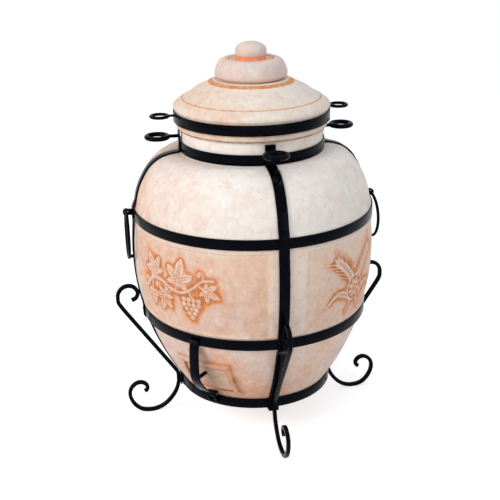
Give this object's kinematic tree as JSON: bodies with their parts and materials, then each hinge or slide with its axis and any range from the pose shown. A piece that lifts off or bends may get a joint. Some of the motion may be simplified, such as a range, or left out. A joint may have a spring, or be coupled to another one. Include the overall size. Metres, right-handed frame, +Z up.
{
  "type": "clay tandoor oven",
  "caption": "Jar-shaped clay oven with a lift-off lid and vent cap, caged in flat iron hoops and ribs, with scroll legs, hanging carrying rings and a draft door.",
  "frame": {"origin": "on the floor under the middle of the jar", "axes": "+Z up; the draft door faces -Y; the picture looks from 30 degrees to the right of the draft door"},
  "size_m": [0.6129, 0.613, 0.977],
  "materials": {
    "jar_clay": "matte fired clay with peach stain",
    "lid_clay": "matte fired clay",
    "black_iron": "gloss black paint on forged flat bar",
    "grate_iron": "raw cast iron",
    "bare_steel": "plain turned pin"
  },
  "bodies": {
    "oven": {"clay_body": "jar_clay", "bottom_hoop": "black_iron", "lower_hoop": "black_iron", "shoulder_hoop": "black_iron", "neck_hoop": "black_iron", "rib_front_left": "black_iron", "rib_front_right": "black_iron", "rib_back_right": "black_iron", "rib_back_left": "black_iron", "leg_front_left": "black_iron", "leg_front_right": "black_iron", "leg_back_right": "black_iron", "leg_back_left": "black_iron", "foot_front_left": "black_iron", "foot_front_right": "black_iron", "foot_back_right": "black_iron", "foot_back_left": "black_iron", "neck_ring_front_left": "black_iron", "neck_ring_front_right": "black_iron", "neck_ring_back_right": "black_iron", "neck_ring_back_left": "black_iron", "base_bar": "black_iron", "base_arm_left": "black_iron", "base_arm_right": "black_iron", "lug_left": "black_iron", "lug_right": "black_iron", "peg_left": "black_iron", "peg_right": "black_iron", "keeper_bracket": "black_iron", "keeper_pin": "bare_steel"},
    "lid": {"lid": "lid_clay", "lid_hoop": "black_iron", "lid_ring_left": "black_iron", "lid_ring_right": "black_iron"},
    "cap": {"lid_cap": "lid_clay"},
    "grate": {"fire_grate": "grate_iron"},
    "door": {"draft_door": "jar_clay", "keeper": "black_iron", "keeper_stay": "black_iron"},
    "grip_left": {"grip_left": "black_iron"},
    "grip_right": {"grip_right": "black_iron"}
  },
  "joints": [
    {"name": "lid_lift", "type": "slide", "parent": "oven", "child": "lid", "axis": [0, 0, 1], "range_m": [0, 0.3]},
    {"name": "cap_lift", "type": "slide", "parent": "lid", "child": "cap", "axis": [0, 0, 1], "range_m": [0, 0.15]},
    {"name": "grate_lift", "type": "slide", "parent": "oven", "child": "grate", "axis": [0, 0, 1], "range_m": [0, 0.5]},
    {"name": "door_tilt", "type": "hinge", "parent": "oven", "child": "door", "pos_m": [0, -0.21587, 0.125], "axis": [1, 0, 0], "range_deg": [0, 75]},
    {"name": "grip_left_swing", "type": "hinge", "parent": "oven", "child": "grip_left", "pos_m": [-0.24591, -0.20634, 0.56612], "axis": [-0.6428, 0.766, 0], "range_deg": [0, 115]},
    {"name": "grip_right_swing", "type": "hinge", "parent": "oven", "child": "grip_right", "pos_m": [0.22299, 0.23092, 0.56612], "axis": [0.7193, -0.6947, 0], "range_deg": [0, 115]}
  ]
}
